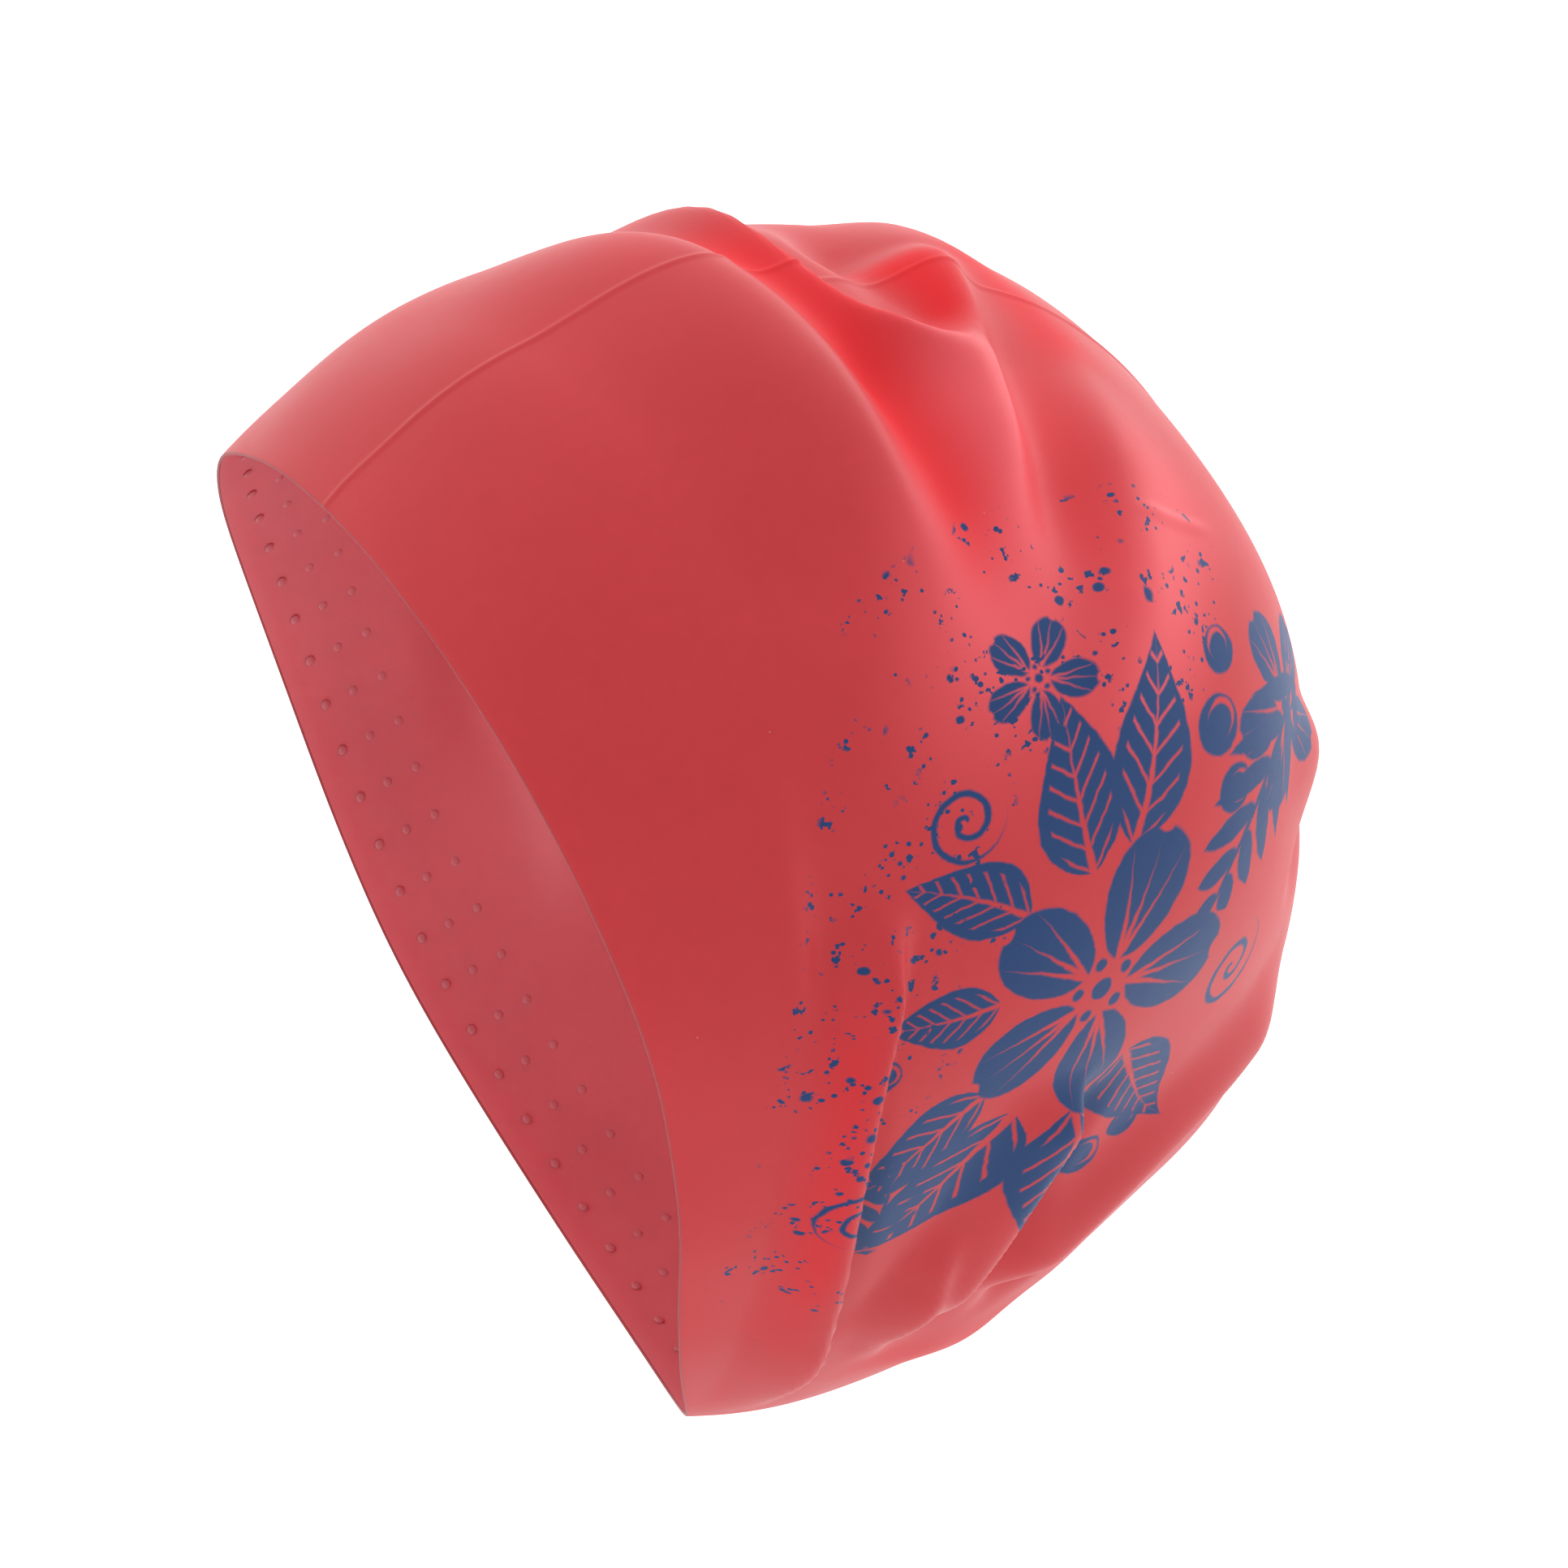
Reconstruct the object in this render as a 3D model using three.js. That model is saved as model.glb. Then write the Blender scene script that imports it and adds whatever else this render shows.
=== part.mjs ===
// Swim cap of thin moulded silicone, in millimetres, +Z up, the face looking along -Y and the
// wearer's left at +X. The cap is one moulding: a hollow dome that is open at its rim, with soft
// folds where the loose crown sinks in on itself. The origin is the middle of the rim loop,
// where a head enters. The rim leans back, so that the brow is higher than the nape.
import * as THREE from 'three';

// Driving dimensions.
const RIM_LENGTH = 186;
const RIM_WIDTH = 162;
const CROWN_DEPTH = 141.5;
const WALL = 1.0;
const FOLD_HEIGHT = 6;
// Each end of a fold dies out over this share of its length.
const FOLD_FADE = 0.3;
const RIM_TILT_DEG = 25;
// How far up from the rim, as an angle at the origin, the dome reaches its full width.
const SWELL_ANGLE_DEG = 28;

// Mesh fineness: columns around the rim and rings from the rim to the crown. Columns crowd
// towards the side with the most folds and rings towards the middle of the height, each by its
// share of the even spacing.
const COLUMNS = 80;
const COLUMN_CROWDING = 0.35;
const CROWDED_AZIMUTH_DEG = 75;
const RINGS = 32;
const RING_CROWDING = 0.4;
const FOLD_STEPS = 12;

// The dome is not quite round. Each row gives, at one azimuth from the brow (0) over the wearer's
// left (90) to the nape (180): the rim's reach as a share of the rim oval, the rim's lift as a
// share of the crown depth, how much the dome swells beyond the rim as a share of the rim oval,
// and the power of the curve from the side to the crown, where 2 is round and 4 is boxy.
const SECTIONS = [
  { azimuth: 0, reach: 0.946, lift: 0.0, swell: 0.167, power: 2.5 },
  { azimuth: 45, reach: 1.007, lift: 0.032, swell: 0.081, power: 2.75 },
  { azimuth: 90, reach: 0.994, lift: 0.021, swell: 0.08, power: 2.85 },
  { azimuth: 135, reach: 0.966, lift: -0.004, swell: 0.081, power: 2.8 },
  { azimuth: 180, reach: 1.048, lift: 0.053, swell: 0.145, power: 3.2 },
  { azimuth: 225, reach: 0.961, lift: 0.021, swell: 0.105, power: 2.7 },
  { azimuth: 270, reach: 1.006, lift: 0.018, swell: 0.074, power: 2.8 },
  { azimuth: 315, reach: 0.984, lift: -0.011, swell: 0.081, power: 2.75 },
];

// Each fold runs along an arc through three points, each an azimuth and an elevation seen from
// the origin, in degrees. right and left are how many degrees it spreads on the two sides of the
// way it runs, and height is a share of FOLD_HEIGHT: a ridge above 0, a valley below.
const FOLDS = [
  { name: 'brow crest', path: [[-24, 25], [4, 32.5], [50, 38]], right: 10, left: 7, height: 0.8 },
  { name: 'brow valley', path: [[-24, 33], [9, 39.3], [54, 42]], right: 6, left: 6, height: -0.9 },
  { name: 'crown ridge', path: [[-36, 35.5], [3, 42.5], [18, 51]], right: 6, left: 5, height: 1.0 },
  { name: 'crown pocket', path: [[-20, 48], [4, 48], [18, 52.5]], right: 6, left: 6, height: -0.95 },
  { name: 'crown hump', path: [[-38, 53], [-14, 55], [2, 55]], right: 6, left: 8, height: 0.35 },
  { name: 'pocket ridge', path: [[-8, 54], [14, 51], [46, 45]], right: 8, left: 6, height: 0.85 },
  { name: 'side valley', path: [[-2, 59], [25, 55.5], [56, 51.5]], right: 5, left: 6, height: -0.7 },
  { name: 'side ridge', path: [[16, 64], [42, 57.5], [66, 50]], right: 7, left: 9, height: 0.5 },
  { name: 'cheek ridge', path: [[50, 21.5], [74, 18.8], [100, 15]], right: 6, left: 5, height: 0.45 },
  { name: 'cheek valley', path: [[58, 24], [92, 18], [134, 12]], right: 5, left: 6, height: -0.6 },
  { name: 'nape ridge', path: [[70, 30], [101, 19.5], [148, 8]], right: 8, left: 5, height: 0.9 },
  { name: 'low ridge', path: [[100, 45], [117, 34], [140, 21]], right: 10, left: 6, height: 0.6 },
  { name: 'low valley', path: [[108, 48], [124, 38], [146, 26]], right: 6, left: 6, height: -0.45 },
  { name: 'under ridge', path: [[118, 62], [128, 43], [151, 28]], right: 7, left: 6, height: 0.7 },
  { name: 'under valley', path: [[134, 60], [142, 44], [162, 28]], right: 6, left: 7, height: -0.6 },
  { name: 'back corner', path: [[90, 75], [102, 72], [112, 67]], right: 9, left: 8, height: 0.4 },
  { name: 'back dent', path: [[118, 76], [123, 70], [128, 64]], right: 7, left: 7, height: -0.3 },
  { name: 'far brow valley', path: [[-74, 46], [-52, 42], [-26, 35]], right: 8, left: 8, height: -0.7 },
  { name: 'far crown ridge', path: [[-84, 54], [-62, 51], [-36, 46]], right: 8, left: 8, height: 0.6 },
  { name: 'far crown valley', path: [[-110, 66], [-70, 62], [-34, 60]], right: 8, left: 8, height: -0.6 },
  { name: 'far side ridge', path: [[-118, 20], [-92, 24], [-66, 33]], right: 8, left: 8, height: 0.5 },
  { name: 'far side valley', path: [[-140, 22], [-112, 30], [-84, 40]], right: 8, left: 8, height: -0.6 },
  { name: 'back ridge', path: [[186, 24], [192, 42], [204, 60]], right: 8, left: 9, height: 0.55 },
  { name: 'back valley', path: [[172, 26], [176, 42], [180, 60]], right: 8, left: 8, height: -0.6 },
  { name: 'far back valley', path: [[204, 22], [212, 38], [226, 54]], right: 8, left: 8, height: -0.6 },
];

const CROWN_ELEVATION = Math.PI / 2;
const radians = THREE.MathUtils.degToRad;
const degrees = THREE.MathUtils.radToDeg;

// A column of SECTIONS as one smooth loop: the waves up to half the number of rows that pass
// through every row's value.
function around(column, azimuth) {
  const half = SECTIONS.length / 2;
  return SECTIONS.reduce((sum, row) => {
    const offset = azimuth - radians(row.azimuth);
    const chord = Math.sin(offset / 2);
    const share = Math.abs(chord) < 1e-9
      ? 1
      : (Math.sin(half * offset) * Math.cos(offset / 2)) / (2 * half * chord);
    return sum + share * row[column];
  }, 0);
}

// The unit vector at an azimuth and an elevation: X to the brow, Y to the wearer's left, Z to the
// crown. The rim's tilt turns these axes into the part's own frame at the end.
function direction(azimuth, elevation) {
  return new THREE.Vector3(
    Math.cos(elevation) * Math.cos(azimuth),
    Math.cos(elevation) * Math.sin(azimuth),
    Math.sin(elevation),
  );
}

// The rim is an oval, and each section reaches a little inside or outside it.
function rimOval(azimuth) {
  return 1 / Math.hypot(Math.cos(azimuth) / (RIM_LENGTH / 2), Math.sin(azimuth) / (RIM_WIDTH / 2));
}

function rimElevation(azimuth) {
  return Math.atan2(CROWN_DEPTH * around('lift', azimuth), rimOval(azimuth) * around('reach', azimuth));
}

// Distance from the origin to the smooth dome: a superellipse from the side to the crown, whose
// half width grows by the swell over the first SWELL_ANGLE_DEG above the rim.
function domeRadius(azimuth, elevation) {
  const climb = (elevation - rimElevation(azimuth)) / radians(SWELL_ANGLE_DEG);
  const rise = THREE.MathUtils.clamp(climb, 0, 1);
  const swell = around('swell', azimuth) * rise * (2 - rise);
  const halfWidth = rimOval(azimuth) * (around('reach', azimuth) + swell);
  const power = around('power', azimuth);
  const outward = Math.max(Math.cos(elevation), 0) / halfWidth;
  const upward = Math.max(Math.sin(elevation), 0) / CROWN_DEPTH;
  return (outward ** power + upward ** power) ** (-1 / power);
}

// The fold's line: a quadratic curve through the three points of its path, on the unit sphere.
function foldLine(fold) {
  const [start, through, end] = fold.path.map(([a, e]) => direction(radians(a), radians(e)));
  const handle = through.clone().multiplyScalar(2).addScaledVector(start, -0.5).addScaledVector(end, -0.5);
  const curve = new THREE.QuadraticBezierCurve3(start, handle, end);
  return Array.from({ length: FOLD_STEPS + 1 }, (_, step) => curve.getPoint(step / FOLD_STEPS).normalize());
}

const foldLines = FOLDS.map(foldLine);

// Height that one fold adds in a direction: a bell across its line, which falls to nothing at its
// spread on each side, and dies out smoothly towards both ends.
function foldHeight(fold, line, toward) {
  let nearest = { distance: Infinity, side: 0, along: 0 };
  for (let step = 0; step < FOLD_STEPS; step += 1) {
    const piece = new THREE.Line3(line[step], line[step + 1]);
    const share = piece.closestPointToPointParameter(toward, true);
    const distance = piece.at(share, new THREE.Vector3()).distanceTo(toward);
    if (distance < nearest.distance) {
      const side = new THREE.Vector3().crossVectors(line[step], line[step + 1]).dot(toward);
      nearest = { distance, side, along: (step + share) / FOLD_STEPS };
    }
  }
  const spread = nearest.side > 0 ? fold.left : fold.right;
  const across = Math.max(1 - (degrees(nearest.distance) / spread) ** 2, 0);
  const ends = THREE.MathUtils.smoothstep(nearest.along, 0, FOLD_FADE)
    * THREE.MathUtils.smoothstep(1 - nearest.along, 0, FOLD_FADE);
  return FOLD_HEIGHT * fold.height * across ** 2 * ends;
}

function outerPoint(azimuth, elevation) {
  const toward = direction(azimuth, elevation);
  const folds = FOLDS.reduce((sum, fold, i) => sum + foldHeight(fold, foldLines[i], toward), 0);
  return toward.multiplyScalar(domeRadius(azimuth, elevation) + folds);
}

function columnAzimuth(column) {
  const even = (2 * Math.PI * column) / COLUMNS;
  return even - COLUMN_CROWDING * Math.sin(even - radians(CROWDED_AZIMUTH_DEG));
}

// How far a ring lies from the rim to the crown, from 0 to 1.
function ringShare(ring) {
  const even = ring / RINGS;
  return even + (RING_CROWDING * Math.sin(2 * Math.PI * even)) / (2 * Math.PI);
}

// The outer wall as rows of points, one row for each ring from the rim up. The last ring is the
// crown, a single point that every column shares.
function outerRings() {
  return Array.from({ length: RINGS + 1 }, (_, ring) => Array.from({ length: COLUMNS }, (__, column) => {
    const azimuth = columnAzimuth(column);
    const rim = rimElevation(azimuth);
    return outerPoint(azimuth, rim + (CROWN_ELEVATION - rim) * ringShare(ring));
  }));
}

// The inner wall: every outer point moved in by the wall, square to the surface, whose slope is
// read from the neighbouring points. The crown point moves straight down.
function innerRings(rings) {
  return rings.map((row, ring) => row.map((point, column) => {
    if (ring === RINGS) return point.clone().add(new THREE.Vector3(0, 0, -WALL));
    const before = row[(column + COLUMNS - 1) % COLUMNS];
    const after = row[(column + 1) % COLUMNS];
    const lower = rings[Math.max(ring - 1, 0)][column];
    const upper = rings[ring + 1][column];
    const outward = new THREE.Vector3()
      .crossVectors(after.clone().sub(before), upper.clone().sub(lower))
      .normalize();
    return point.clone().addScaledVector(outward, -WALL);
  }));
}

// One closed skin: the outer wall, the inner wall turned to face inwards, and the rim's cut edge
// between them.
function capGeometry() {
  const outer = outerRings();
  const inner = innerRings(outer);
  const points = [];
  const addWall = (rings) => {
    const first = points.length;
    rings.slice(0, RINGS).forEach((row) => points.push(...row));
    points.push(rings[RINGS][0]);
    return (ring, column) => first + ring * COLUMNS + (ring === RINGS ? 0 : column % COLUMNS);
  };
  const outside = addWall(outer);
  const inside = addWall(inner);
  const triangles = [];
  for (let column = 0; column < COLUMNS; column += 1) {
    const next = column + 1;
    triangles.push(inside(0, column), inside(0, next), outside(0, next));
    triangles.push(inside(0, column), outside(0, next), outside(0, column));
    for (let ring = 0; ring < RINGS; ring += 1) {
      triangles.push(outside(ring, column), outside(ring, next), outside(ring + 1, column));
      triangles.push(inside(ring, next), inside(ring, column), inside(ring + 1, column));
      if (ring < RINGS - 1) {
        triangles.push(outside(ring, next), outside(ring + 1, next), outside(ring + 1, column));
        triangles.push(inside(ring + 1, next), inside(ring, next), inside(ring + 1, column));
      }
    }
  }
  const geometry = new THREE.BufferGeometry().setFromPoints(points);
  geometry.setIndex(triangles);
  geometry.computeVertexNormals();
  return geometry;
}

// Turns brow, left and crown axes into the part's frame, with the rim tilted back.
function wornFrame() {
  const tilt = radians(RIM_TILT_DEG);
  const toBrow = new THREE.Vector3(0, -Math.cos(tilt), Math.sin(tilt));
  const toLeft = new THREE.Vector3(1, 0, 0);
  const toCrown = new THREE.Vector3(0, Math.sin(tilt), Math.cos(tilt));
  return new THREE.Matrix4().makeBasis(toBrow, toLeft, toCrown);
}

const silicone = new THREE.MeshStandardMaterial({ color: 0xc8383f, roughness: 0.5, metalness: 0 });

const capShell = new THREE.Mesh(capGeometry(), silicone);
capShell.name = 'cap_shell';
capShell.applyMatrix4(wornFrame());

const swimCap = new THREE.Group();
swimCap.name = 'swim_cap';
swimCap.add(capShell);

export default swimCap;
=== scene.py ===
"""Moulded silicone swim cap, filled out as on a head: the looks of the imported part.

Every shape is worked out in millimetres from the middle of the rim loop, on the cap's own three
axes: to the brow, to the wearer's left and to the crown. An azimuth runs round the rim from the
brow (0) over the wearer's left (90) to the nape (180), and an elevation from the rim (about 0)
to the crown (90). CapForm.to_world turns these points into the frame's metres.
"""

import logging
import math
from dataclasses import dataclass, field
from enum import Enum

import bpy
import numpy as np
from mathutils import Matrix, Vector


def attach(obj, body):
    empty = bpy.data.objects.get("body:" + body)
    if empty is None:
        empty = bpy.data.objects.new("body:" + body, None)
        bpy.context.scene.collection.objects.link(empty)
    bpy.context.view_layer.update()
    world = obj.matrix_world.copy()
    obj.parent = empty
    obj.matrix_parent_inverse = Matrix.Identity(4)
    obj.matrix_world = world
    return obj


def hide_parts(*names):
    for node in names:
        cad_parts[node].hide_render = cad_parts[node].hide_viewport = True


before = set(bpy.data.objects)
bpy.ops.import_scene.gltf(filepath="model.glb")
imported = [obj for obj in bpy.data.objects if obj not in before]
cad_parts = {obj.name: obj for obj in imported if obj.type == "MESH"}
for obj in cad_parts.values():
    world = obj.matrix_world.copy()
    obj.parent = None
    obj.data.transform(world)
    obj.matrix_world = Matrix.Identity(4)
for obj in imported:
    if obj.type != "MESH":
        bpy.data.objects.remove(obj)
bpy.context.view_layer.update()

log = logging.getLogger("swim_cap")

MM = 0.001
NEARLY_NONE = 1e-9
BODY = "root"
NODE = "cap_shell"


@dataclass(frozen=True)
class Section:
    """The dome's section at one azimuth.

    reach and swell are shares of the rim oval, lift is a share of the crown's depth, and power
    is that of the curve from the side to the crown, where 2 is round and 4 is boxy.
    """

    azimuth: float
    reach: float
    lift: float
    swell: float
    power: float


@dataclass(frozen=True)
class Fold:
    """A ridge (height above 0), a valley (below 0) or a patch of painted light (painted bounce light in
    the hollows, painted sheen on the crown) along an arc through three points.

    Each point is an azimuth and an elevation in degrees. right and left are the degrees that it
    spreads on either side of the way it runs, height is a share of the fold height, roundness
    goes from 0, a sharp crest, upwards, and fade is the share of its length in which each end
    dies out.
    """

    name: str
    start: tuple[float, float]
    through: tuple[float, float]
    end: tuple[float, float]
    right: float
    left: float
    height: float
    roundness: float = 0.6
    fade: float = 0.3


SECTIONS = (
    Section(0, reach=0.946, lift=0.0, swell=0.167, power=2.5),
    Section(45, reach=1.007, lift=0.032, swell=0.081, power=2.75),
    Section(90, reach=0.994, lift=0.021, swell=0.08, power=2.85),
    Section(135, reach=0.966, lift=-0.004, swell=0.081, power=2.8),
    Section(180, reach=1.048, lift=0.053, swell=0.145, power=3.2),
    Section(225, reach=0.961, lift=0.021, swell=0.105, power=2.7),
    Section(270, reach=1.006, lift=0.018, swell=0.074, power=2.8),
    Section(315, reach=0.984, lift=-0.011, swell=0.081, power=2.75),
)

FOLDS = (
    Fold("brow crest", (-24, 26), (8, 35.2), (56, 38.5), 13, 8, 1.1, 0.7, 0.4),
    Fold("brow valley", (-24, 35), (14, 43.5), (60, 44), 6, 6, -0.6, 1.2, 0.4),
    Fold("crown ridge", (-36, 35), (3, 42), (18, 51), 5, 3.2, 1.0, 0.18),
    Fold("crown pocket", (-20, 48.5), (4, 49), (16, 53), 5, 5, -1.2),
    Fold("crown hump", (-38, 53), (-14, 55), (2, 55), 5, 7, 0.35, 0.6, 0.4),
    Fold("pocket ridge", (-8, 52.5), (12, 50.5), (48, 45), 8, 6, 0.9, 0.7),
    Fold("side valley", (-2, 58.5), (25, 54), (56, 49.5), 6, 6, -0.65, 0.9, 0.35),
    Fold("side ridge", (16, 62.5), (42, 56), (66, 48.5), 5, 8, 0.5, 0.3, 0.35),
    Fold("cheek ridge", (46, 22.5), (72, 18.6), (100, 15.5), 7, 4, 0.3, 0.7, 0.4),
    Fold("cheek valley", (58, 24.5), (92, 19), (134, 12), 5, 5, -0.35, 1.0, 0.35),
    Fold("nape ridge", (66, 30), (96, 17.8), (150, 6), 6.5, 3.4, 1.3, 0.45, 0.22),
    Fold("nape step", (114, 28), (126, 22.5), (142, 18), 4, 2.4, 0.4, 0.45),
    Fold("low ridge", (102, 42), (117, 32.5), (136, 19), 8, 3.2, 1.1, 0.5, 0.25),
    Fold("low valley", (105, 46), (121, 36), (141, 23), 4, 4, -0.6),
    Fold("under ridge", (150, 63), (131, 44.5), (139, 29), 7, 3.2, 0.9, 0.45, 0.2),
    Fold("under valley", (158, 62), (138, 44.5), (146, 29), 4, 4, -0.9, 0.6, 0.2),
    Fold("under lobe", (168, 58), (148, 44), (156, 30), 5, 6, 0.1, 0.6),
    Fold("under flat", (122, 66), (146, 50), (152, 34), 14, 14, -0.3, 1.0),
    Fold("low bulge", (140, 22), (150, 26), (160, 30), 6, 7, 0.25, 0.9, 0.4),
    Fold("side crease", (40, 56.5), (43, 61), (46, 66), 0.9, 0.9, 0.09, 0.5),
    Fold("back corner", (90, 75), (102, 72), (112, 67), 8, 7, 0.45, 0.6, 0.5),
    Fold("back dent", (118, 76), (123, 70), (128, 64), 5, 5, -0.35, 0.6, 0.5),
    Fold("far brow valley", (-74, 46), (-52, 42), (-26, 35), 7, 7, -0.7),
    Fold("far crown ridge", (-84, 54), (-62, 51), (-36, 46), 7, 5, 0.6, 0.3),
    Fold("far crown valley", (-110, 66), (-70, 62), (-34, 60), 7, 7, -0.6),
    Fold("far side ridge", (-118, 20), (-92, 24), (-66, 33), 7, 5, 0.5, 0.3),
    Fold("far side valley", (-140, 22), (-112, 30), (-84, 40), 7, 7, -0.6),
    Fold("back ridge", (186, 24), (192, 42), (204, 60), 5, 8, 0.55, 0.3),
    Fold("back valley", (172, 26), (176, 42), (180, 60), 7, 7, -0.6),
    Fold("far back valley", (204, 22), (212, 38), (226, 54), 7, 7, -0.6),
)

# Arcs of painted bounce light: a brighter, more saturated red is painted into the fold valleys and the
# crown pocket. It stands in for light bouncing inside the folds and for the white reflection that the
# folds hide.
PAINTED_BOUNCE_HOLLOWS = (
    Fold("brow band", (-16, 34), (14, 42.5), (50, 43.5), 4, 5.5, 0.9, 0.9, 0.25),
    Fold("pocket floor", (-6, 50), (4, 51), (14, 52), 3, 4, 1.0, 0.8),
    Fold("side hollow", (4, 58.5), (31, 55.5), (56, 51.5), 4, 4.5, 0.32, 0.9),
    Fold("crown hollow", (-14, 55), (3, 59.5), (20, 61), 4, 5, 0.5, 0.8),
    Fold("nape slope", (72, 25), (93, 16.7), (130, 7), 5, 2.5, 0.5, 0.6),
    Fold("low lobe", (136, 14), (150, 25.5), (158, 38), 6, 6, 0.3, 0.8),
    Fold("back lobe", (152, 60), (139, 47), (146, 34), 4, 5, 0.7, 0.8),
)

# Arcs of painted sheen: a lighter pink is painted on the crown and the side that face the bright back of
# the room. It stands in for the white reflection there.
PAINTED_SHEENS = (
    Fold("crown painted sheen", (8, 52), (34, 47), (68, 36), 12, 11, 1.0, 1.0, 0.35),
    Fold("side painted sheen", (26, 66), (50, 58), (72, 45), 8, 8, 0.8, 1.0, 0.35),
)


def smooth_step(share: np.ndarray) -> np.ndarray:
    """Climbs smoothly from 0 to 1: three times the square less twice the cube.

    Args:
        share: any numbers.

    Returns:
        The climb, of the same shape.
    """
    held = np.clip(share, 0.0, 1.0)
    return held * held * (3.0 - 2.0 * held)


def spread_out(density: np.ndarray, count: int, closed: bool) -> np.ndarray:
    """Places shares from 0 to 1 so that they crowd where a density is high.

    The density's running sum is scaled to 1, and the shares are read off it at even steps.

    Args:
        density: the density at even steps of the share, first to last.
        count: how many shares to place.
        closed: leave out the last one, which is the first one of a loop again.

    Returns:
        The shares, from 0 upwards.
    """
    middles = (density[1:] + density[:-1]) / 2
    running = np.concatenate([[0.0], np.cumsum(middles)])
    steps = np.linspace(0.0, 1.0, count, endpoint=not closed)
    return np.interp(steps, running / running[-1], np.linspace(0.0, 1.0, density.size))


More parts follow.
